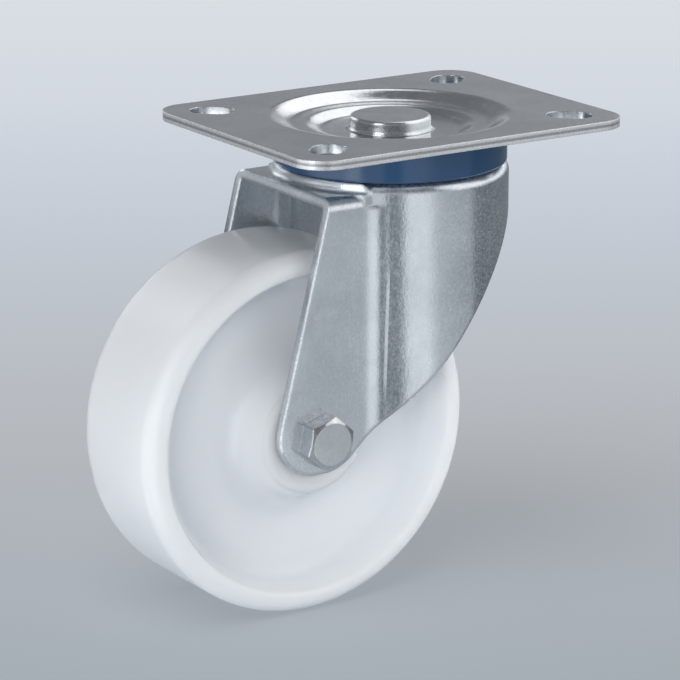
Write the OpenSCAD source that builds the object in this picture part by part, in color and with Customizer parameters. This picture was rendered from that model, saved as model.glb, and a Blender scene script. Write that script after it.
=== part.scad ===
// Swivel castor with a mounting plate, a one-piece pressed fork and a solid wheel.
// The origin is the centre of the plate's top face. +X is the way it rolls, so the
// wheel trails to -X, the axle lies along Y and +Z is up.

/* [Overall] */
// Height from the floor to the plate's top face
total_h = 130; // [120:1:150]
// Gap between the wheel's tread and the underside of the fork's crown
tread_gap = 12.3; // [9:0.1:16]
// Distance of the axle behind the swivel axis
trail = 37; // [34:0.5:42]

/* [Top plate] */
// Length of the plate along X
plate_l = 102; // [98:1:130]
// Width of the plate along Y
plate_w = 82; // [78:1:110]
// Thickness of the plate's sheet
plate_t = 2.5; // [2:0.1:3.5]
// Radius of the plate's corners
plate_corner_r = 9; // [4:0.5:12]
// Distance between slot centres along X
slot_pitch_x = 77.5; // [76:0.5:90]
// Distance between slot centres along Y
slot_pitch_y = 57.5; // [56:0.5:70]
// Width of each fixing slot
slot_w = 9; // [7:0.5:10]
// Distance that a bolt can move along a slot
slot_travel = 3.5; // [0.5:0.5:5]
// Width of the slope at the edge of the pressed dish
dish_slope = 6.5; // [5:0.1:9]
// Depth of the dish's flat shelf below the plate's top face
shelf_depth = 2.5; // [2:0.1:3.5]
// Width of the shelf, which lies over the ball track
shelf_w = 3.4; // [2.5:0.1:3.6]
// Width of the slope between the shelf and the dish's floor
floor_slope = 4.6; // [3:0.1:6]
// Depth of the dish's floor below the plate's top face
floor_depth = 4.2; // [3.6:0.1:5]

/* [King pin] */
// Diameter of the head that sits in the dish
pin_head_d = 22; // [18:0.5:26]
// Depth of the head's top below the plate's top face
pin_recess = 0.4; // [0.2:0.1:1.2]
// Diameter of the shank
pin_d = 12; // [10:0.5:14]
// Diameter of the spigot that is riveted over the lower cup
spigot_d = 9.5; // [7:0.5:9.5]
// Diameter of the riveted end
rivet_d = 16; // [13:0.5:18]
// Height of the riveted end
rivet_h = 2.4; // [1.5:0.1:3]

/* [Swivel bearing] */
// Diameter of the upper balls
upper_ball_d = 8; // [7:0.1:8.5]
// Diameter of the lower balls
lower_ball_d = 5.5; // [4.5:0.1:6.5]
// Diameter of the circle that the lower balls run on
lower_pitch_d = 30; // [28:0.5:32]
// Depth of each ball track
track_depth = 0.4; // [0.3:0.05:0.6]
// Gap between a ball and its track
ball_gap = 0.1; // [0.05:0.01:0.15]
// Least gap between two balls of a ring
ball_space = 0.15; // [0.1:0.05:0.5]
// Thickness of the lower cup
cup_t = 2.5; // [2:0.1:3]
// Radial gap between the lower balls and the cup's lip
cup_side_gap = 0.7; // [0.4:0.1:1.5]

/* [Dust seal] */
// Outside diameter of the seal
seal_d = 63.4; // [60:0.1:68]
// Thickness of the seal's wall
seal_wall = 1.5; // [1:0.1:1.7]
// Width of the seal's foot, which rests on the fork's head
seal_foot_w = 2.6; // [2:0.1:3.5]
// Thickness of the foot
seal_foot_t = 1.4; // [0.8:0.1:2]
// Radial gap between the foot and the upper balls
seal_ball_gap = 0.3; // [0.2:0.1:1]
// Running gap between the seal and the plate
seal_gap = 0.4; // [0.3:0.1:1]

/* [Fork] */
// Thickness of the fork's sheet
sheet_t = 2.5; // [2:0.1:3]
// Width of the fork's round head that shows outside the seal
head_rim = 0.1; // [0:0.1:1]
// Height of the head above the crown
crown_step = 2.8; // [2.6:0.1:4]
// Radius of the hollow round the foot of the head
head_foot_r = 1.5; // [1:0.1:2]
// Distance from the round head to the crown's open edge
crown_lip = 2.5; // [2:0.1:6]
// Outside radius of the bends between the crown and the legs
leg_bend_r = 3.4; // [3.2:0.1:5]
// How much smaller the skirt's radius is than the round head's
skirt_step = 0.1; // [0:0.1:1.5]
// Distance of the skirt's centre ahead of the swivel axis
skirt_offset = 0.65; // [0:0.05:2]
// Outside radius of the bend between the head and the skirt
head_bend_r = 3; // [2.8:0.1:4]
// Radius of the folds between the legs and the skirt
fold_r = 10; // [2:0.5:12]
// Radius of the legs' ends towards the skirt
leg_end_r = 13; // [11:0.5:15]
// Radius of the legs' ends at the open side
leg_corner_r = 11; // [8:0.5:13]
// Width of the flat between those two rounds
leg_flat = 2.5; // [1:0.1:4]
// Distance of the first round's centre ahead of the axle
leg_end_x = 0.5; // [0:0.1:1.5]
// Distance from the axle to the bottom of the legs
axle_edge = 9.5; // [8.5:0.5:11]
// Slope of the skirt's lower edge beside the legs, in degrees
heel_angle = 44; // [40:1:46]
// Slope of the skirt's lower edge towards the rear, in degrees
rear_angle = 52; // [50:1:58]
// Radius of the curve between those two slopes
heel_r = 110; // [60:5:150]
// Position along X where that curve starts
heel_x = -8; // [-12:1:0]
// Height of the skirt at the rear
rear_h = 11.6; // [8:0.1:16]
// Radius of the curve at the rear end of the lower edge
rear_r = 8; // [4:1:12]

/* [Axle] */
// Diameter of the axle bolt
bolt_d = 8; // [6:0.5:10]
// Width across the flats of the bolt's head and of the nut
hex_af = 13; // [12:0.5:16]
// Height of the bolt's head
bolt_head_h = 5.3; // [4:0.1:7]
// Diameter of the flat face on the bolt's head
head_face_d = 11.6; // [10:0.1:12]
// Turn of the bolt's head about its axis, in degrees
head_turn = 18; // [0:1:60]
// Length of bolt that stands out of the nut
bolt_end = 1.6; // [1:0.1:5]
// Height of the nut without its collar
nut_h = 6; // [5:0.1:8]
// Height of the nut's collar, which holds the locking ring
collar_h = 2.2; // [1.5:0.1:3]
// Gap round the bolt in the legs and in the axle tube
bolt_gap = 0.25; // [0.1:0.05:0.5]
// Gap at the bolt's thread and at the other seats that don't turn
seat_gap = 0.05; // [0.02:0.01:0.1]
// Outside diameter of the axle tube
tube_d = 12; // [11.5:0.1:13]

/* [Wheel] */
// Width of the tread
tread_w = 37; // [32:0.5:38]
// Radius of the tread's edges
tread_edge_r = 4.5; // [2:0.5:6]
// Length of the hub
hub_l = 40; // [39:0.5:44]
// Gap between each end of the hub and the fork's leg
hub_gap = 0.75; // [0.4:0.05:1]
// Diameter of the hub's ends
hub_end_d = 31; // [28:0.5:36]
// Thickness of the web between hub and rim
web_t = 17; // [12:0.5:20]
// Slope of the hub's sides, in degrees
hub_draft = 22; // [10:1:25]
// Radius at the foot of the hub
hub_foot_r = 8; // [4:0.5:9]
// Thickness of the rim at the wheel's side
rim_t = 5.7; // [5.5:0.1:8]
// Slope of the rim's inside, in degrees
rim_draft = 16; // [8:1:20]
// Radius at the foot of the rim's inside
rim_foot_r = 6; // [3:0.5:7]
// Radius on the edge of the rim's lip
lip_edge_r = 1; // [0.5:0.1:1.5]
// Radius on the edges of the hub's ends
hub_edge_r = 3; // [1:0.1:3.5]

/* [Roller bearing] */
// Diameter of the rollers
roller_d = 3.8; // [3:0.1:4.5]
// Number of rollers
roller_count = 8; // [5:1:8]
// Running gap on both sides of the rollers
roller_gap = 0.1; // [0.05:0.01:0.15]
// Length of the rollers
roller_l = 30; // [20:1:33]
// Gap round each roller in its window of the cage
window_gap = 0.15; // [0.1:0.05:0.3]
// Radial gap between the cage and the tube or the hub
cage_gap = 0.6; // [0.4:0.1:0.8]
// Gap between each end of the cage and the hub's end
cage_end_gap = 1; // [0.5:0.1:2]

/* [Hidden] */
$fn = 96;
// Length that reaches past the whole castor
far = 200;
// Steps in a curved stretch of an outline
curve_steps = 8;

// Heights of the stack from the plate down to the axle
upper_ball_z = track_depth - shelf_depth - plate_t - ball_gap - upper_ball_d / 2;
head_z = upper_ball_z - upper_ball_d / 2 - ball_gap + track_depth;
crown_z = head_z - crown_step;
wall_top = crown_z - leg_bend_r;
lower_ball_z = head_z - sheet_t + track_depth - ball_gap - lower_ball_d / 2;
cup_z = lower_ball_z - lower_ball_d / 2 - ball_gap + track_depth;
wheel_d = total_h + crown_z - sheet_t - tread_gap;
axle_z = wheel_d / 2 - total_h;

// Radii of the swivel head, from the seal inwards
upper_r = seal_d / 2 - seal_foot_w - seal_ball_gap - upper_ball_d / 2;
lower_r = lower_pitch_d / 2;
shelf_r = upper_r + shelf_w / 2;
shelf_in_r = upper_r - shelf_w / 2;
dish_r = shelf_r + dish_slope;
floor_r = shelf_in_r - floor_slope;
head_r = seal_d / 2 + head_rim;
skirt_r = head_r - skirt_step;
upper_count = floor(2 * PI * upper_r / (upper_ball_d + ball_space));
lower_count = floor(2 * PI * lower_r / (lower_ball_d + ball_space));

// Head of the king pin, and edge rounds that no other piece depends on
pin_head_h = floor_depth - pin_recess;
head_roll_r = crown_step * 0.4;
foot_lift = 0.96;
pin_edge_r = pin_head_h * 0.2;
pin_foot_r = pin_head_h * 0.3;

// Fork, seen from above and from the side
fork_w = hub_l + 2 * hub_gap + 2 * sheet_t;
fold_y = fork_w / 2 + fold_r;
fold_x = skirt_offset - sqrt(pow(skirt_r + fold_r, 2) - fold_y * fold_y);
leg_end = [leg_end_x - trail, axle_z - axle_edge + leg_end_r];
crown_corner = [-head_r - crown_lip, crown_z];
rear_z = head_z - rear_h;
king_hole_r = lower_r - lower_ball_d / 2 - 2 * cup_side_gap;

// Axle and roller bearing
corner_r = hex_af / 2 / cos(30);
insert_d = bolt_d + (hex_af - bolt_d) * 0.45;
insert_h = collar_h * 0.8;
roller_r = tube_d / 2 + roller_gap + roller_d / 2;
bore_d = tube_d + 2 * roller_d + 4 * roller_gap;

// Depth of the dish below the plate's top face at radius r
function ease(t) = t * t * (3 - 2 * t);
function dish_z(r) =
  r > shelf_r ? -shelf_depth * ease((dish_r - r) / (dish_r - shelf_r)) :
  r > shelf_in_r ? -shelf_depth :
  r > floor_r ? -shelf_depth - (floor_depth - shelf_depth) * ease((shelf_in_r - r) / (shelf_in_r - floor_r)) :
  -floor_depth;
// Points along the dish from its outer edge to its floor, lowered by a drop
function dish_line(drop) = concat(
  [for (i = [0:curve_steps]) let (r = dish_r + (shelf_r - dish_r) * i / curve_steps) [r, dish_z(r) - drop]],
  [for (i = [0:curve_steps]) let (r = shelf_in_r + (floor_r - shelf_in_r) * i / curve_steps)
    [r, dish_z(r) - drop]]);
function reversed(list) = [for (i = [len(list) - 1:-1:0]) list[i]];
function polar(r, a) = r * [cos(a), sin(a)];

// Material to take off a convex edge between two faces that look along a1 and a2
module edge_round(centre, r, a1, a2) {
  reach = r / cos((a2 - a1) / 2) + r;
  difference() {
    polygon([centre, centre + polar(2 * r, a1), centre + polar(reach, (a1 + a2) / 2),
      centre + polar(2 * r, a2)]);
    translate(centre) circle(r);
  }
}

// Groove for a ring of balls
module ball_track(pitch_r, z, ball_d) {
  rotate_extrude() translate([pitch_r, z]) circle(ball_d / 2 + ball_gap);
}

module ball_ring(count, pitch_r, z, ball_d) {
  for (i = [0:count - 1]) rotate(i * 360 / count) translate([pitch_r, 0, z]) sphere(d = ball_d, $fn = 24);
}

// Places its children on the axle, with their Z along +Y
module on_axle(y = 0) {
  translate([-trail, y, axle_z]) rotate([-90, 0, 0]) children();
}

// Hexagon body standing on its face, with that face chamfered, or both ends if asked
module hex_body(h, face_r, both_ends) {
  reach = corner_r * 1.1;
  drop = (reach - face_r) * tan(30);
  intersection() {
    linear_extrude(h) circle(r = corner_r, $fn = 6);
    rotate_extrude() polygon(concat(
      [[0, 0], [face_r, 0], [reach, drop]],
      both_ends ? [[reach, h - drop], [face_r, h]] : [[reach, h]],
      [[0, h]]));
  }
}

module plate_outline() {
  inner = [plate_l - 2 * plate_corner_r, plate_w - 2 * plate_corner_r];
  square([plate_l, inner[1]], center = true);
  square([inner[0], plate_w], center = true);
  for (x = [-1, 1], y = [-1, 1]) translate([x * inner[0] / 2, y * inner[1] / 2]) circle(plate_corner_r);
}

// Slot whose length points at 45 degrees to the plate's sides, towards its middle
module fixing_slot(angle) {
  rotate(angle) {
    square([slot_travel, slot_w], center = true);
    for (s = [-1, 1]) translate([s * slot_travel / 2, 0]) circle(d = slot_w);
  }
}

module top_plate() {
  color("silver") difference() {
    union() {
      translate([0, 0, -plate_t]) linear_extrude(plate_t) difference() {
        plate_outline();
        circle(dish_r);
        for (x = [-1, 1], y = [-1, 1])
          translate([x * slot_pitch_x / 2, y * slot_pitch_y / 2]) fixing_slot(x * y * 45);
      }
      rotate_extrude() polygon(concat(
        dish_line(0),
        [[pin_d / 2 + seat_gap, -floor_depth], [pin_d / 2 + seat_gap, -floor_depth - plate_t]],
        reversed(dish_line(plate_t))));
    }
    ball_track(upper_r, upper_ball_z, upper_ball_d);
  }
}

module king_pin() {
  base = -floor_depth;
  top = base + pin_head_h;
  head = pin_head_d / 2;
  end = cup_z - cup_t;
  color("gainsboro") rotate_extrude() difference() {
    union() {
      translate([0, base]) square([head, pin_head_h]);
      translate([0, base]) square([head + pin_foot_r, pin_foot_r]);
      translate([0, cup_z]) square([pin_d / 2, base - cup_z]);
      translate([0, end]) square([spigot_d / 2, cup_t]);
      translate([0, end - rivet_h]) square([rivet_d / 2, rivet_h]);
    }
    translate([head + pin_foot_r, base + pin_foot_r]) circle(pin_foot_r);
    edge_round([head - pin_edge_r, top - pin_edge_r], pin_edge_r, 0, 90);
    edge_round([rivet_d / 2 - rivet_h * 0.8, end - rivet_h * 0.2], rivet_h * 0.8, -90, 0);
  }
}

// Pressed cup under the lower balls, held by the king pin
module lower_cup() {
  hole = spigot_d / 2 + seat_gap;
  lip_in = lower_r + lower_ball_d / 2 + cup_side_gap;
  lip_out = lip_in + cup_t;
  lip_top = lower_ball_z;
  color("darkgray") difference() {
    rotate_extrude() difference() {
      union() {
        translate([hole, cup_z - cup_t]) square([lip_out - hole, cup_t]);
        translate([lip_in, cup_z - cup_t]) square([cup_t, lip_top - cup_z + cup_t]);
      }
      edge_round([lip_in + cup_t / 2, cup_z - cup_t / 2], cup_t / 2, -90, 0);
    }
    ball_track(lower_r, lower_ball_z, lower_ball_d);
  }
}

module upper_balls() {
  color("whitesmoke") ball_ring(upper_count, upper_r, upper_ball_z, upper_ball_d);
}

module lower_balls() {
  color("whitesmoke") ball_ring(lower_count, lower_r, lower_ball_z, lower_ball_d);
}

module dust_seal() {
  r = seal_d / 2;
  wall_in = r - seal_wall;
  top = dish_z(min(wall_in, dish_r)) - plate_t - seal_gap;
  edge = seal_wall * 0.4;
  color("midnightblue") rotate_extrude() difference() {
    union() {
      translate([wall_in, head_z]) square([seal_wall, top - head_z]);
      translate([r - seal_foot_w, head_z]) square([seal_foot_w, seal_foot_t]);
    }
    edge_round([r - edge, top - edge], edge, 0, 90);
    edge_round([r - edge, head_z + edge], edge, -90, 0);
  }
}

// Fold between one leg and the skirt, seen from above
module fold_plan(inset) {
  fold = [fold_x, fold_y];
  centre = [skirt_offset, 0];
  leg_y = fork_w / 2 - inset;
  on_skirt = centre + (fold - centre) * (skirt_r - inset) / (skirt_r + fold_r);
  difference() {
    polygon([fold, [fold_x, leg_y], [on_skirt[0], leg_y * 0.8], on_skirt]);
    translate(fold) circle(fold_r + inset);
  }
}

// Outline of the fork seen from above, set in from the outside by an inset
module fork_plan(inset) {
  leg_y = fork_w / 2 - inset;
  translate([skirt_offset, 0]) circle(skirt_r - inset);
  translate([-far, -leg_y]) square([far + skirt_offset, 2 * leg_y]);
  for (s = [0, 1]) mirror([0, s]) fold_plan(inset);
}

// Cross-section over both legs, rounded at its top corners, from the walls' top up to z
module leg_section(leg_y, z, bend) {
  difference() {
    translate([-leg_y, wall_top]) square([2 * leg_y, z - wall_top]);
    edge_round([leg_y - bend, z - bend], bend, 0, 90);
    edge_round([bend - leg_y, z - bend], bend, 90, 180);
  }
}

// Runs a cross-section along X, from the skirt's centre to past the open end
module along_legs() {
  rotate([90, 0, -90]) translate([0, 0, -skirt_offset]) linear_extrude(far) children();
}

// Hollow between the crown and the wall of the head, which meets the crown at a slight angle
module head_foot() {
  difference() {
    translate([head_r - head_foot_r, wall_top]) square([2 * head_foot_r, crown_z + head_foot_r - wall_top]);
    translate([head_r + head_foot_r, crown_z + head_foot_r * foot_lift]) circle(head_foot_r);
    translate([head_r, crown_z + head_foot_r * foot_lift]) square(head_foot_r);
  }
}

// Space inside the fork's outer skin, or inside its inner skin if set in by the sheet
module fork_form(inset) {
  leg_y = fork_w / 2 - inset;
  leg_bend = leg_bend_r - inset;
  head_bend = head_bend_r - inset;
  skirt = skirt_r - inset;
  disc = head_r - inset;
  top = head_z - inset;
  // Upright walls
  translate([0, 0, wall_top - far]) linear_extrude(far) fork_plan(inset);
  // Skirt's bend up to the head
  translate([skirt_offset, 0, 0]) rotate_extrude() difference() {
    translate([0, wall_top]) square([skirt, top - wall_top]);
    edge_round([skirt - head_bend, top - head_bend], head_bend, 0, 90);
  }
  // Crown between the legs
  along_legs() leg_section(leg_y, crown_z - inset, leg_bend);
  // Raised round head
  intersection() {
    along_legs() leg_section(leg_y, top, leg_bend);
    rotate_extrude() {
      difference() {
        translate([0, wall_top]) square([disc, top - wall_top]);
        edge_round([disc - head_roll_r, top - head_roll_r], head_roll_r, 0, 90);
      }
      if (head_foot_r > inset) head_foot();
    }
  }
}

// Outline of the fork seen from the side
module fork_side() {
  bottom = axle_z - axle_edge;
  corner = [leg_end[0] - leg_flat, bottom + leg_corner_r];
  to_crown = crown_corner - corner;
  front_a = atan2(to_crown[1], to_crown[0]) + acos(leg_corner_r / norm(to_crown));
  heel = leg_end + polar(leg_end_r, heel_angle - 90);
  bend = [heel_x, heel[1] + (heel_x - heel[0]) * tan(heel_angle)];
  curve = [for (i = [0:curve_steps]) let (a = heel_angle + (rear_angle - heel_angle) * i / curve_steps)
    bend + heel_r * [sin(a) - sin(heel_angle), cos(heel_angle) - cos(a)]];
  last = curve[curve_steps];
  rear_start_z = rear_z - rear_r * (1 - cos(rear_angle));
  rear_start = [last[0] + (rear_start_z - last[1]) / tan(rear_angle), rear_start_z];
  rear = [for (i = [0:curve_steps]) let (a = rear_angle * (1 - i / curve_steps))
    rear_start + rear_r * [sin(rear_angle) - sin(a), cos(a) - cos(rear_angle)]];
  translate(leg_end) circle(leg_end_r);
  translate(corner) circle(leg_corner_r);
  polygon(concat(
    [[crown_corner[0], far], crown_corner, corner + polar(leg_corner_r, front_a), corner,
      [corner[0], bottom], [leg_end[0], bottom], leg_end, heel],
    curve, rear, [[far, rear_z], [far, far]]));
}

module fork() {
  color("lightsteelblue") difference() {
    intersection() {
      difference() {
        fork_form(0);
        fork_form(sheet_t);
      }
      rotate([90, 0, 0]) linear_extrude(2 * far, center = true) fork_side();
    }
    translate([0, 0, head_z - far / 2]) cylinder(r = king_hole_r, h = far);
    ball_track(upper_r, upper_ball_z, upper_ball_d);
    ball_track(lower_r, lower_ball_z, lower_ball_d);
    on_axle() cylinder(d = bolt_d + 2 * bolt_gap, h = far, center = true);
  }
}

module axle_bolt() {
  shank_l = fork_w + nut_h + collar_h + bolt_end;
  tip = bolt_end * 0.6;
  color("gainsboro") {
    on_axle(-fork_w / 2 - bolt_head_h) rotate(-head_turn) hex_body(bolt_head_h, head_face_d / 2, false);
    on_axle(-fork_w / 2) rotate_extrude() polygon([[0, 0], [bolt_d / 2, 0], [bolt_d / 2, shank_l - tip],
      [bolt_d / 2 - tip, shank_l], [0, shank_l]]);
  }
}

// Lock nut with a round collar that holds a nylon ring
module axle_nut() {
  collar_r = hex_af * 0.44;
  color("gainsboro") on_axle(fork_w / 2) difference() {
    union() {
      hex_body(nut_h, hex_af * 0.47, true);
      rotate_extrude() difference() {
        square([collar_r, nut_h + collar_h]);
        edge_round([collar_r - collar_h / 2, nut_h + collar_h / 2], collar_h / 2, 0, 90);
      }
    }
    cylinder(d = bolt_d + 2 * seat_gap, h = far, center = true);
    translate([0, 0, nut_h]) cylinder(d = insert_d + 2 * seat_gap, h = insert_h);
    translate([0, 0, nut_h]) cylinder(d = (bolt_d + insert_d) / 2, h = far);
  }
}

module nut_insert() {
  color("white") on_axle(fork_w / 2 + nut_h) difference() {
    cylinder(d = insert_d, h = insert_h);
    cylinder(d = bolt_d + 2 * seat_gap, h = far, center = true);
  }
}

// Spacer that the legs are clamped against
module axle_tube() {
  length = fork_w - 2 * sheet_t;
  color("silver") on_axle() difference() {
    cylinder(d = tube_d, h = length, center = true);
    cylinder(d = bolt_d + 2 * bolt_gap, h = far, center = true);
  }
}

module roller_set(grow) {
  for (i = [0:roller_count - 1])
    rotate(i * 360 / roller_count) translate([roller_r, 0, 0])
      cylinder(d = roller_d + 2 * grow, h = roller_l + 2 * grow, center = true);
}

module roller_cage() {
  color("dimgray") on_axle() difference() {
    cylinder(d = bore_d - 2 * cage_gap, h = hub_l - 2 * cage_end_gap, center = true);
    cylinder(d = tube_d + 2 * cage_gap, h = far, center = true);
    roller_set(window_gap);
  }
}

module rollers() {
  color("silver") on_axle() roller_set(0);
}

// Recess between the hub and the rim on one side of the wheel, in radius and axial distance
module wheel_dish() {
  web = web_t / 2;
  side = tread_w / 2;
  hub_side = hub_l / 2;
  hub_slope = tan(hub_draft);
  rim_slope = tan(rim_draft);
  lip_r = wheel_d / 2 - rim_t;
  hub_foot = [hub_end_d / 2 + (hub_side - web - hub_foot_r) * hub_slope + hub_foot_r / cos(hub_draft),
    web + hub_foot_r];
  rim_foot = [lip_r - (side - web - rim_foot_r) * rim_slope - rim_foot_r / cos(rim_draft), web + rim_foot_r];
  lip = [lip_r - lip_edge_r * rim_slope + lip_edge_r / cos(rim_draft), side - lip_edge_r];
  hub_edge = [hub_end_d / 2 + hub_edge_r * hub_slope - hub_edge_r / cos(hub_draft), hub_side - hub_edge_r];
  translate(hub_foot) circle(hub_foot_r);
  translate(rim_foot) circle(rim_foot_r);
  polygon([[hub_end_d / 2 - far * hub_slope, hub_side + far], hub_foot - polar(hub_foot_r, hub_draft),
    [hub_foot[0], web], [rim_foot[0], web], rim_foot + polar(rim_foot_r, -rim_draft),
    [lip_r + far * rim_slope, side + far]]);
  edge_round(lip, lip_edge_r, 90, 180 - rim_draft);
  edge_round(hub_edge, hub_edge_r, hub_draft, 90);
}

module wheel() {
  r = wheel_d / 2;
  tread_edge = [r - tread_edge_r, tread_w / 2 - tread_edge_r];
  color("white") on_axle() rotate_extrude($fn = 180) difference() {
    union() {
      translate([bore_d / 2, -tread_w / 2]) square([r - bore_d / 2, tread_w]);
      translate([bore_d / 2, -hub_l / 2]) square([(hub_end_d - bore_d) / 2, hub_l]);
    }
    for (s = [0, 1]) mirror([0, s]) {
      wheel_dish();
      edge_round(tread_edge, tread_edge_r, 0, 90);
    }
  }
}

top_plate();
king_pin();
lower_cup();
upper_balls();
lower_balls();
dust_seal();
fork();
axle_bolt();
axle_nut();
nut_insert();
axle_tube();
roller_cage();
rollers();
wheel();
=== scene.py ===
import math

import bpy
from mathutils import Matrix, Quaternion, Vector


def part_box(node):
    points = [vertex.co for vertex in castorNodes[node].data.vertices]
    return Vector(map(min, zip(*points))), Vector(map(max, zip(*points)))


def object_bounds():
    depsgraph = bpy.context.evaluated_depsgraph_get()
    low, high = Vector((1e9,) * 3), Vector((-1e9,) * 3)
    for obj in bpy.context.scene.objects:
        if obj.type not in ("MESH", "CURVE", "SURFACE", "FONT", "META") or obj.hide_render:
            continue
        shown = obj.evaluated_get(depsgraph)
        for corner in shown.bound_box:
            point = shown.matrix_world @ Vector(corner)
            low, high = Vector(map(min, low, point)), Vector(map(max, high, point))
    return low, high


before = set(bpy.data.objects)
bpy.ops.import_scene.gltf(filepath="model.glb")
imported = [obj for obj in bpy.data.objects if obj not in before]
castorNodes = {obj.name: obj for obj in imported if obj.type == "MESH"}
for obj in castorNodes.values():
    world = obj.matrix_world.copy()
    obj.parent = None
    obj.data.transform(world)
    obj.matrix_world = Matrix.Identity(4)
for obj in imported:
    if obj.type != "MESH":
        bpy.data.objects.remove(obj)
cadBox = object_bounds()
print("castor frame loaded with", len(castorNodes), "nodes")


# small node helpers shared by all the finishes
def emptyFinish(name):
    mat = bpy.data.materials.new(name)
    mat.use_nodes = True
    tree = mat.node_tree
    tree.nodes.clear()
    out = tree.nodes.new("ShaderNodeOutputMaterial")
    return mat, tree, out.inputs["Surface"]


def startFinish(name):
    mat, tree, surface = emptyFinish(name)
    skin = tree.nodes.new("ShaderNodeBsdfPrincipled")
    tree.links.new(skin.outputs["BSDF"], surface)
    return mat, tree, skin


def feed(tree, value, socket):
    if isinstance(value, bpy.types.NodeSocket):
        tree.links.new(value, socket)
    else:
        socket.default_value = value


def pieceSpace(tree, stretch=(1, 1, 1), shift=(0, 0, 0)):
    coord = tree.nodes.new("ShaderNodeTexCoord")
    place = tree.nodes.new("ShaderNodeMapping")
    place.inputs["Scale"].default_value = stretch
    place.inputs["Location"].default_value = shift
    tree.links.new(coord.outputs["Object"], place.inputs["Vector"])
    return place.outputs["Vector"]


def axes(tree, where):
    split = tree.nodes.new("ShaderNodeSeparateXYZ")
    tree.links.new(where, split.inputs["Vector"])
    return split.outputs


def cloud(tree, where, scale, detail=3.0, rough=0.55, warp=0.0):
    tex = tree.nodes.new("ShaderNodeTexNoise")
    tex.inputs["Scale"].default_value = scale
    tex.inputs["Detail"].default_value = detail
    tex.inputs["Roughness"].default_value = rough
    tex.inputs["Distortion"].default_value = warp
    tree.links.new(where, tex.inputs["Vector"])
    return tex.outputs["Fac"]


def crystals(tree, where, scale):
    tex = tree.nodes.new("ShaderNodeTexVoronoi")
    tex.inputs["Scale"].default_value = scale
    tree.links.new(where, tex.inputs["Vector"])
    return tex.outputs["Color"]


def spread(tree, value, low, high, toLow=0.0, toHigh=1.0):
    node = tree.nodes.new("ShaderNodeMapRange")
    tree.links.new(value, node.inputs["Value"])
    node.inputs["From Min"].default_value = low
    node.inputs["From Max"].default_value = high
    node.inputs["To Min"].default_value = toLow
    node.inputs["To Max"].default_value = toHigh
    return node.outputs["Result"]


def sums(tree, kind, a, b=0.0):
    node = tree.nodes.new("ShaderNodeMath")
    node.operation = kind
    feed(tree, a, node.inputs[0])
    feed(tree, b, node.inputs[1])
    return node.outputs[0]


def vectors(tree, kind, a, b=None):
    node = tree.nodes.new("ShaderNodeVectorMath")
    node.operation = kind
    tree.links.new(a, node.inputs[0])
    if b is not None:
        feed(tree, b, node.inputs[1])
    return node.outputs["Value" if kind in ("DOT_PRODUCT", "LENGTH") else "Vector"]


def tint(tree, amount, a, b):
    node = tree.nodes.new("ShaderNodeMix")
    node.data_type = "RGBA"
    feed(tree, amount, node.inputs["Factor"])
    for side, colour in (("A", a), ("B", b)):
        socket = [s for s in node.inputs if s.name == side and s.type == "RGBA"][0]
        feed(tree, colour if isinstance(colour, bpy.types.NodeSocket) else (*colour, 1), socket)
    return [s for s in node.outputs if s.type == "RGBA"][0]


def toneRamp(tree, value, stops):
    ramp = tree.nodes.new("ShaderNodeValToRGB")
    spots = ramp.color_ramp.elements
    spots.remove(spots[1])
    for k, (place, tone) in enumerate(stops):
        spot = spots[0] if k == 0 else spots.new(place)
        spot.position = place
        spot.color = (*tone, 1)
    tree.links.new(value, ramp.inputs["Fac"])
    return ramp.outputs["Color"]


# surface relief, on edges that are never quite sharp
def relief(tree, skin, height, strength, depth, edge, edgeRays=4):
    soft = tree.nodes.new("ShaderNodeBevel")
    soft.samples = edgeRays
    soft.inputs["Radius"].default_value = edge
    bump = tree.nodes.new("ShaderNodeBump")
    bump.inputs["Strength"].default_value = strength
    bump.inputs["Distance"].default_value = depth
    tree.links.new(height, bump.inputs["Height"])
    tree.links.new(soft.outputs["Normal"], bump.inputs["Normal"])
    tree.links.new(bump.outputs["Normal"], skin.inputs["Normal"])
    return soft.outputs["Normal"]


# zinc plate over pressed steel: cloudy tone, faint crystals, fine grain and brighter edges, partly wear and
# partly a painted highlight
zincClouds = {
    "patches": {"detail": 3.0, "rough": 0.6, "warp": 0.4},
    "haze": {"detail": 2.0, "rough": 0.5, "warp": 0.8},
    "mottle": {"detail": 3.0, "rough": 0.6},
    "grain": {"detail": 4.0, "rough": 0.65},
    "flecks": {"detail": 2.0, "rough": 0.6},
}
zincDrawn = ("grain", "flecks")  # clouds that the press draws out
zincSpans = {
    "patches": (0.35, 0.68), "haze": (0.45, 0.75), "mottle": (0.42, 0.64), "flecks": (0.42, 0.62),
    "wearAndHighlight": (0.995, 0.8),  # cosine between the true and the rounded normal
    "cut": (0.25, 0.08),  # how far a cut face leans out of the cut
}


# edges lighter in colour where the rounded normal leans off the true one: partly wear, partly a painted
# highlight
def edgeWearAndPaintedHighlight(tree, softNormal):
    here = tree.nodes.new("ShaderNodeNewGeometry")
    return spread(tree, vectors(tree, "DOT_PRODUCT", softNormal, here.outputs["Normal"]), *zincSpans["wearAndHighlight"])


def cutFace(tree, across):
    coord = tree.nodes.new("ShaderNodeTexCoord")
    lean = vectors(tree, "DOT_PRODUCT", coord.outputs["Normal"], across)
    return spread(tree, sums(tree, "ABSOLUTE", lean), *zincSpans["cut"])


# 1 along the plate's outer edge, 0 at its slots and its dish
def outerEdge(tree, corner):
    where = vectors(tree, "ABSOLUTE", pieceSpace(tree, (1, 1, 0)))
    where = vectors(tree, "SUBTRACT", where, (*corner["centre"], 0))
    away = vectors(tree, "LENGTH", vectors(tree, "MAXIMUM", where, (0, 0, 0)))
    return spread(tree, away, *(corner["radius"] - inset for inset in corner["fade"]))


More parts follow.
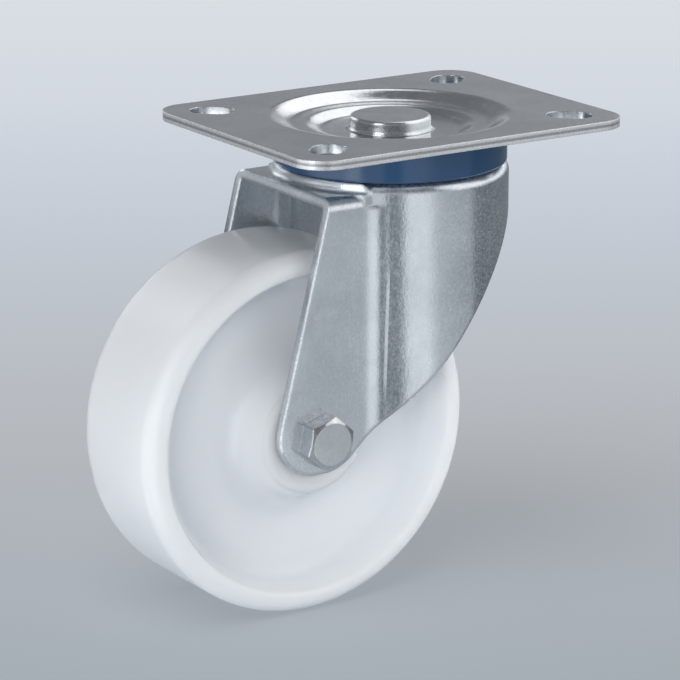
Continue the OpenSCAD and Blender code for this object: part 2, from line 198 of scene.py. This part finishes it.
# fine raised line that the press leaves down the fork's fold
def pressLine(tree, where, line):
    x, _, z = axes(tree, where)
    middle = sums(tree, "ADD", sums(tree, "MULTIPLY", z, line["lean"]), line["start"])
    off = sums(tree, "ABSOLUTE", sums(tree, "SUBTRACT", x, middle))
    ridge = spread(tree, off, line["width"], 0.0, 0.0, line["rise"])
    belowTop = spread(tree, z, line["top"], line["top"] - line["fade"])
    aboveFoot = spread(tree, z, line["foot"], line["foot"] + line["fade"])
    return sums(tree, "MULTIPLY", ridge, sums(tree, "MULTIPLY", belowTop, aboveFoot))


def zincSteel(name, look):
    mat, tree, skin = startFinish(name)
    body = pieceSpace(tree)
    drawn = pieceSpace(tree, look["stretch"])
    layer = {kind: cloud(tree, drawn if kind in zincDrawn else body, look[kind], **made)
             for kind, made in zincClouds.items()}
    flakes = crystals(tree, drawn, look["flakes"])
    tone = tint(tree, spread(tree, layer["patches"], *zincSpans["patches"]), look["shade"], look["tone"])
    haze = spread(tree, layer["haze"], *zincSpans["haze"], 0.0, look["hazeAmount"])
    tone = tint(tree, haze, tone, look["hazeTone"])
    tone = tint(tree, sums(tree, "MULTIPLY", flakes, look["flakeAmount"]), tone, look["shade"])
    dull = spread(tree, layer["mottle"], *zincSpans["mottle"], 0.0, look["dull"])
    gloss = sums(tree, "ADD", spread(tree, layer["flecks"], *zincSpans["flecks"], *look["gloss"]),
                 sums(tree, "MULTIPLY", flakes, look["flakeGloss"]))
    height = sums(tree, "ADD", layer["grain"], sums(tree, "MULTIPLY", layer["patches"], look["waviness"]))
    height = sums(tree, "ADD", height, sums(tree, "MULTIPLY", layer["mottle"], look["mottleBump"]))
    if "crease" in look:
        height = sums(tree, "ADD", height, pressLine(tree, body, look["crease"]))
    wornAndHighlit = edgeWearAndPaintedHighlight(tree, relief(tree, skin, height, look["bump"], look["depth"], look["edge"]))
    if "cutAcross" in look:
        cut = cutFace(tree, look["cutAcross"])
        gloss = sums(tree, "ADD", gloss, sums(tree, "MULTIPLY", cut, look["cutGloss"]))
        if "cutTones" in look:
            sheared = sums(tree, "MULTIPLY", cut, outerEdge(tree, look["cutCorner"]))
            streaks = toneRamp(tree, spread(tree, axes(tree, body)[2], -look["cutDepth"], 0.0), look["cutTones"])
            tone = tint(tree, sums(tree, "MULTIPLY", sheared, look["cutAmount"]), tone, streaks)
            dull = sums(tree, "MAXIMUM", dull, sums(tree, "MULTIPLY", sheared, look["cutDull"]))
    # painted highlight along the edges, partly standing for wear: the tone is pulled towards the bright edge
    # tone
    tone = tint(tree, sums(tree, "MULTIPLY", wornAndHighlit, look["edgeShine"]), tone, look["bright"])
    tree.links.new(tone, skin.inputs["Base Color"])
    tree.links.new(gloss, skin.inputs["Roughness"])
    tree.links.new(sums(tree, "SUBTRACT", 1.0, dull), skin.inputs["Metallic"])
    return mat


plateLook = {
    "tone": (0.71, 0.725, 0.74), "shade": (0.58, 0.595, 0.615), "bright": (0.90, 0.91, 0.92),
    "hazeTone": (0.64, 0.675, 0.685), "hazeAmount": 0.5,
    "stretch": (1, 1, 1), "patches": 45, "haze": 22, "grain": 1300, "flecks": 700,
    "flakes": 700, "flakeAmount": 0.16, "flakeGloss": 0.04, "gloss": (0.13, 0.21), "waviness": 1.6,
    "mottle": 900, "mottleBump": 0.6, "dull": 0.06,
    "bump": 0.14, "depth": 0.00012, "edge": 0.0004, "edgeShine": 0.25,
    "cutAcross": (0, 0, 1), "cutGloss": 0.10, "cutAmount": 0.9, "cutDull": 0.5, "cutDepth": 0.0025,
    "cutCorner": {"centre": (0.042, 0.032), "radius": 0.009, "fade": (0.002, 0.001)},
    "cutTones": [  # streaks of the sheared edge, from the underside to the top
        (0.0, (0.60, 0.60, 0.61)), (0.30, (0.68, 0.68, 0.69)), (0.44, (0.26, 0.26, 0.27)),
        (0.60, (0.30, 0.30, 0.31)), (0.74, (0.62, 0.63, 0.64)), (1.0, (0.70, 0.71, 0.72))],
}
forkLook = {
    "tone": (0.712, 0.738, 0.775), "shade": (0.578, 0.605, 0.642), "bright": (0.91, 0.93, 0.95),
    "hazeTone": (0.61, 0.66, 0.70), "hazeAmount": 0.35,
    "stretch": (1, 1, 0.4), "patches": 60, "haze": 30, "grain": 1100, "flecks": 1400,
    "flakes": 520, "flakeAmount": 0.18, "flakeGloss": 0.02, "gloss": (0.07, 0.21), "waviness": 1.2,
    "mottle": 1500, "mottleBump": 1.0, "dull": 0.20,
    "bump": 0.24, "depth": 0.00012, "edge": 0.0013, "edgeShine": 0.5,
    "crease": {"start": -0.01651, "lean": 0.0235, "width": 0.0007, "rise": 2.2,
               "top": -0.034, "foot": -0.073, "fade": 0.008},
}


def without(look, name):
    return {key: value for key, value in look.items() if key != name}


pressedLook = without(plateLook, "cutTones")
pinLook = dict(pressedLook, tone=(0.72, 0.73, 0.745), shade=(0.60, 0.615, 0.63), patches=110, flakes=900,
               edge=0.0009, edgeShine=0.5)
cupLook = dict(pressedLook, patches=90, haze=45)
boltLook = dict(without(forkLook, "crease"), tone=(0.66, 0.675, 0.69), shade=(0.55, 0.565, 0.585),
                stretch=(1, 1, 1), patches=160, haze=80, grain=1600, flakes=1100, gloss=(0.12, 0.22),
                mottle=1600, mottleBump=0.2, dull=0.08, bump=0.06, edge=0.0005)
tubeLook = dict(boltLook, stretch=(1, 0.1, 1))


# moulded blue ring: even colour with a slow drift, soft gloss and a fine moulded skin
sealLook = {"blue": (0.024, 0.075, 0.170), "deep": (0.019, 0.058, 0.132), "drift": 40, "driftSpan": (0.35, 0.65),
            "skin": 1800, "skinSpan": (0.3, 0.7), "gloss": (0.12, 0.20), "ior": 1.5,
            "bump": 0.06, "depth": 0.00008, "edge": 0.0004}


def sealPlastic(name, look):
    mat, tree, skin = startFinish(name)
    body = pieceSpace(tree)
    drift = cloud(tree, body, look["drift"], detail=2.0)
    fine = cloud(tree, body, look["skin"])
    tone = tint(tree, spread(tree, drift, *look["driftSpan"]), look["deep"], look["blue"])
    relief(tree, skin, fine, look["bump"], look["depth"], look["edge"])
    tree.links.new(tone, skin.inputs["Base Color"])
    tree.links.new(spread(tree, fine, *look["skinSpan"], *look["gloss"]), skin.inputs["Roughness"])
    skin.inputs["IOR"].default_value = look["ior"]
    return mat


cageLook = dict(sealLook, blue=(0.045, 0.046, 0.050), deep=(0.028, 0.029, 0.032), gloss=(0.38, 0.52))
nutRingLook = dict(sealLook, blue=(0.80, 0.81, 0.80), deep=(0.72, 0.73, 0.73), gloss=(0.36, 0.48))


# white nylon wheel: milky, with a faint moulded skin and rings from the turned mould
wheelLook = {"white": (0.845, 0.86, 0.882), "grey": (0.81, 0.83, 0.857), "drift": 28, "driftSpan": (0.2, 0.8),
             "skin": 1400, "skinSpan": (0.2, 0.8), "gloss": (0.22, 0.28), "ior": 1.53,
             "bump": 0.05, "depth": 0.0001, "edge": 0.0020, "ringPitch": 0.0011, "ringRise": 0.05,
             "milk": 1.0, "glow": (1.0, 0.97, 0.94), "reach": 0.010}


def wheelNylon(name, look, axle):
    mat, tree, skin = startFinish(name)
    body = pieceSpace(tree)
    drift = cloud(tree, body, look["drift"])
    fine = cloud(tree, body, look["skin"])
    fromAxle = vectors(tree, "LENGTH", pieceSpace(tree, (1, 0, 1), (-axle.x, 0, -axle.z)))
    rings = sums(tree, "SINE", sums(tree, "MULTIPLY", fromAxle, 2 * math.pi / look["ringPitch"]))
    tone = tint(tree, spread(tree, drift, *look["driftSpan"]), look["grey"], look["white"])
    height = sums(tree, "ADD", fine, sums(tree, "MULTIPLY", rings, look["ringRise"]))
    relief(tree, skin, height, look["bump"], look["depth"], look["edge"])
    tree.links.new(tone, skin.inputs["Base Color"])
    tree.links.new(spread(tree, fine, *look["skinSpan"], *look["gloss"]), skin.inputs["Roughness"])
    skin.inputs["IOR"].default_value = look["ior"]
    skin.inputs["Subsurface Weight"].default_value = look["milk"]
    skin.inputs["Subsurface Radius"].default_value = look["glow"]
    skin.inputs["Subsurface Scale"].default_value = look["reach"]
    return mat


# ground bearing steel for balls and rollers, with faint running marks
bearingLook = {"tone": (0.74, 0.75, 0.77), "shade": (0.62, 0.63, 0.66), "marks": 1500, "toneSpan": (0.35, 0.65),
               "gloss": (0.07, 0.16), "glossSpan": (0.3, 0.7), "bump": 0.04, "depth": 0.00005, "edge": 0.0002}


def bearingSteel(name, look):
    mat, tree, skin = startFinish(name)
    marks = cloud(tree, pieceSpace(tree), look["marks"], detail=4.0)
    tone = tint(tree, spread(tree, marks, *look["toneSpan"]), look["shade"], look["tone"])
    relief(tree, skin, marks, look["bump"], look["depth"], look["edge"])
    tree.links.new(tone, skin.inputs["Base Color"])
    tree.links.new(spread(tree, marks, *look["glossSpan"], *look["gloss"]), skin.inputs["Roughness"])
    skin.inputs["Metallic"].default_value = 1.0
    return mat


axleLow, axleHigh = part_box("axle_tube")
axleCentre = (axleLow + axleHigh) / 2
finishes = {
    "top_plate": zincSteel("plateZinc", plateLook),
    "king_pin": zincSteel("pinZinc", pinLook),
    "lower_cup": zincSteel("cupZinc", cupLook),
    "fork": zincSteel("forkZinc", forkLook),
    "axle_bolt": zincSteel("boltZinc", boltLook),
    "axle_nut": zincSteel("nutZinc", boltLook),
    "axle_tube": zincSteel("tubeZinc", tubeLook),
    "dust_seal": sealPlastic("sealBlue", sealLook),
    "roller_cage": sealPlastic("cageBlack", cageLook),
    "nut_insert": sealPlastic("nutRingNylon", nutRingLook),
    "upper_balls": bearingSteel("upperBallSteel", bearingLook),
    "lower_balls": bearingSteel("lowerBallSteel", bearingLook),
    "rollers": bearingSteel("rollerSteel", bearingLook),
    "wheel": wheelNylon("wheelWhite", wheelLook, axleCentre),
}
for nodeName, finish in finishes.items():
    castorNodes[nodeName].data.materials.clear()
    castorNodes[nodeName].data.materials.append(finish)
print("finishes on", len(finishes), "nodes")


def addToScene(name, data):
    thing = bpy.data.objects.new(name, data)
    bpy.context.scene.collection.objects.link(thing)
    return thing


def ringPoint(away, step, steps, z):
    a = 2 * math.pi * step / steps
    return away * math.cos(a), away * math.sin(a), z


# pale studio floor that glows with painted light, lighter towards the back; each stop is a distance that way and
# its tone
floorLook = {"radius": 8.0, "steps": 96, "back": (0.5466, 0.8374, 0.0), "share": 0.30, "glow": 0.75, "stops": [
    (-0.08, (0.376, 0.418, 0.456)), (0.12, (0.462, 0.479, 0.508)), (0.44, (0.565, 0.611, 0.679)),
    (0.64, (0.651, 0.686, 0.745)), (0.86, (0.687, 0.723, 0.761))]}


def studioFloor(look, height):
    steps = look["steps"]
    mesh = bpy.data.meshes.new("studioFloor")
    rim = [ringPoint(look["radius"], i, steps, height) for i in range(steps)]
    mesh.from_pydata(rim, [], [list(range(steps))])
    paper = addToScene("studioFloor", mesh)
    mat, tree, skin = startFinish("glowingPaperGrey")
    depth = vectors(tree, "DOT_PRODUCT", pieceSpace(tree), look["back"])
    near, far = look["stops"][0][0], look["stops"][-1][0]
    stops = [((place - near) / (far - near), tone) for place, tone in look["stops"]]
    tones = toneRamp(tree, spread(tree, depth, near, far), stops)
    tree.links.new(tint(tree, look["share"], (0, 0, 0), tones), skin.inputs["Base Color"])
    # painted light: the floor glows in its own tones, on top of what the lamps give it
    tree.links.new(tones, skin.inputs["Emission Color"])
    skin.inputs["Emission Strength"].default_value = look["glow"]
    skin.inputs["Roughness"].default_value = 1.0
    skin.inputs["Specular IOR Level"].default_value = 0.0
    mesh.materials.append(mat)
    return paper


floor = studioFloor(floorLook, cadBox[0].z)
print("floor at", round(cadBox[0].z, 4))


# lamps light the wheel and the other matt pieces, the first one the floor alone
lampLook = {
    "shadowLamp": {"azimuth": -150, "height": 62, "away": 2.0, "angle": 50, "power": 2.75, "floor": True},
    "rightLamp": {"azimuth": -15, "height": 38, "away": 0.95, "size": (1.6, 1.2), "power": 7.0},
    "frontLamp": {"azimuth": -140, "height": 6, "away": 1.0, "size": (0.5, 0.5), "power": 4.9},
    "floorLamp": {"azimuth": -175, "height": -4, "away": 0.42, "size": (0.5, 0.05), "power": 0.42},
    "rimLamp": {"azimuth": -60, "height": -12, "away": 0.15, "size": (0.08, 0.08), "power": 0.032},
    "faceLamp": {"azimuth": -60, "height": 30, "away": 1.0, "size": (0.6, 0.5), "power": 1.3},
    "sideLamp": {"azimuth": 12, "height": 0, "away": 0.5, "size": (0.3, 0.3), "power": 0.9},
    "backLamp": {"azimuth": 120, "height": 40, "away": 1.0, "size": (0.8, 0.8), "power": 2.9},
}
# softboxes show only in what is polished
boxLook = {
    "rightBox": {"azimuth": -13, "height": 35, "away": 0.95, "size": (2.5, 1.3), "roll": 14, "power": 9.8},
    "dishBox": {"azimuth": -5, "height": 50, "away": 0.9, "size": (1.6, 0.6), "power": 1.2},
    "leftBox": {"azimuth": -158, "height": 16, "away": 0.9, "size": (0.36, 1.0), "power": 2.6},
    "rearBox": {"azimuth": 98, "height": 24, "away": 0.9, "size": (0.5, 0.42), "power": 1.0},
}


def pointAt(azimuth, height, away, aim):
    a, e = math.radians(azimuth), math.radians(height)
    return aim + Vector((math.cos(a) * math.cos(e), math.sin(a) * math.cos(e), math.sin(e))) * away


def addLamp(name, look, aim):
    lamp = bpy.data.lights.new(name, "SUN" if "angle" in look else "AREA")
    lamp.energy = look["power"]
    if "angle" in look:
        lamp.angle = math.radians(look["angle"])
    else:
        lamp.shape = "RECTANGLE"
        lamp.size, lamp.size_y = look["size"]
    holder = addToScene(name, lamp)
    holder.location = pointAt(look["azimuth"], look["height"], look["away"], aim)
    facing = (aim - holder.location).to_track_quat("-Z", "Y")
    roll = Quaternion((0, 0, 1), math.radians(look.get("roll", 0)))
    holder.rotation_euler = (facing @ roll).to_euler()
    holder.visible_camera = False
    return holder


castorCentre = (cadBox[0] + cadBox[1]) / 2
floorAlone = bpy.data.collections.new("floorAlone")
floorSpared = bpy.data.collections.new("floorSpared")
for group in (floorAlone, floorSpared):
    group.objects.link(floor)
floorSpared.collection_objects[0].light_linking.link_state = "EXCLUDE"
for lampName, look in lampLook.items():
    lamp = addLamp(lampName, look, castorCentre)
    lamp.visible_glossy = False
    lamp.light_linking.receiver_collection = floorAlone if look.get("floor") else floorSpared
for boxName, look in boxLook.items():
    addLamp(boxName, look, castorCentre).visible_diffuse = False

# low glowing cards round the castor, dark, grey and white by turns, standing in for lamps and dark flags: only
# polished surfaces show them, as painted reflections
cardLook = {"low": (0.115, -0.1295), "high": (0.26, -0.02), "steps": 180,  # how far out and how high, in metres
            "cool": 0.16, "leastCool": 0.3, "coolBlue": 0.6,
            "tones": [  # by azimuth
                (-180, 1.60), (-168, 1.50), (-161, 2.60), (-153, 2.60), (-148, 0.70), (-131, 0.90), (-128, 0.29),
                (-116, 0.27), (-110, 0.98), (-92, 0.98), (-80, 0.59), (-56, 0.475), (-46, 0.46), (-41, 0.21),
                (30, 0.21), (45, 0.50), (90, 0.42), (110, 0.22), (148, 0.22), (164, 1.40), (180, 1.60)]}


def studioCards(look):
    steps = look["steps"]
    points, faces = [], []
    for i in range(steps):
        j = (i + 1) % steps
        points += [ringPoint(away, i, steps, z) for away, z in (look["low"], look["high"])]
        faces.append([2 * i, 2 * j, 2 * j + 1, 2 * i + 1])
    mesh = bpy.data.meshes.new("studioCards")
    mesh.from_pydata(points, [], faces)
    cards = addToScene("studioCards", mesh)
    mat, tree, surface = emptyFinish("glowingCard")
    shine = tree.nodes.new("ShaderNodeEmission")
    tree.links.new(shine.outputs["Emission"], surface)
    x, y, _ = axes(tree, pieceSpace(tree))
    turn = spread(tree, sums(tree, "ARCTAN2", y, x), -math.pi, math.pi)
    stops = []
    for azimuth, tone in look["tones"]:
        cool = look["cool"] * max(look["leastCool"], 1 - tone)  # the darker the card, the bluer
        stops.append(((azimuth + 180) / 360, (tone * (1 - cool), tone, tone * (1 + cool * look["coolBlue"]))))
    # painted light: each card's glow is set by azimuth, some well brighter than white
    tree.links.new(toneRamp(tree, turn, stops), shine.inputs["Color"])
    mesh.materials.append(mat)
    cards.visible_camera = False
    cards.visible_diffuse = False
    cards.visible_shadow = False


studioCards(cardLook)

# the room: an even glow on matt surfaces, and for polished ones pale at the horizon and greyer overhead
roomLook = {"glow": (0.074, 0.082, 0.091), "stops": [
    (0.50, (0.60, 0.63, 0.66)), (0.64, (0.215, 0.225, 0.245)), (0.80, (0.18, 0.19, 0.205))]}


def studioRoom(look):
    world = bpy.data.worlds.new("studioRoom")
    world.use_nodes = True
    tree = world.node_tree
    coord = tree.nodes.new("ShaderNodeTexCoord")
    up = axes(tree, coord.outputs["Generated"])[2]
    sky = toneRamp(tree, spread(tree, up, -1.0, 1.0), look["stops"])
    path = tree.nodes.new("ShaderNodeLightPath")
    seen = sums(tree, "MAXIMUM", path.outputs["Is Camera Ray"], path.outputs["Is Glossy Ray"])
    seen = sums(tree, "MAXIMUM", seen, path.outputs["Is Transmission Ray"])
    tree.links.new(tint(tree, seen, look["glow"], sky), tree.nodes["Background"].inputs["Color"])
    bpy.context.scene.world = world


studioRoom(roomLook)
print("lamps, cards and room set")

# camera where the photograph was taken from
cameraLook = {"place": (-0.487192, -0.721577, 0.185379), "down": 15.975, "turn": -33.133,
              "lens": 174.16, "sensor": 36.0, "clip": (0.05, 30.0)}
shot = bpy.data.cameras.new("studioCamera")
shot.lens = cameraLook["lens"]
shot.sensor_width = cameraLook["sensor"]
shot.clip_start, shot.clip_end = cameraLook["clip"]
tripod = addToScene("studioCamera", shot)
tripod.location = cameraLook["place"]
tripod.rotation_euler = (math.radians(90 - cameraLook["down"]), 0, math.radians(cameraLook["turn"]))
bpy.context.scene.camera = tripod
bpy.context.scene.view_settings.view_transform = "Standard"
print("camera set")
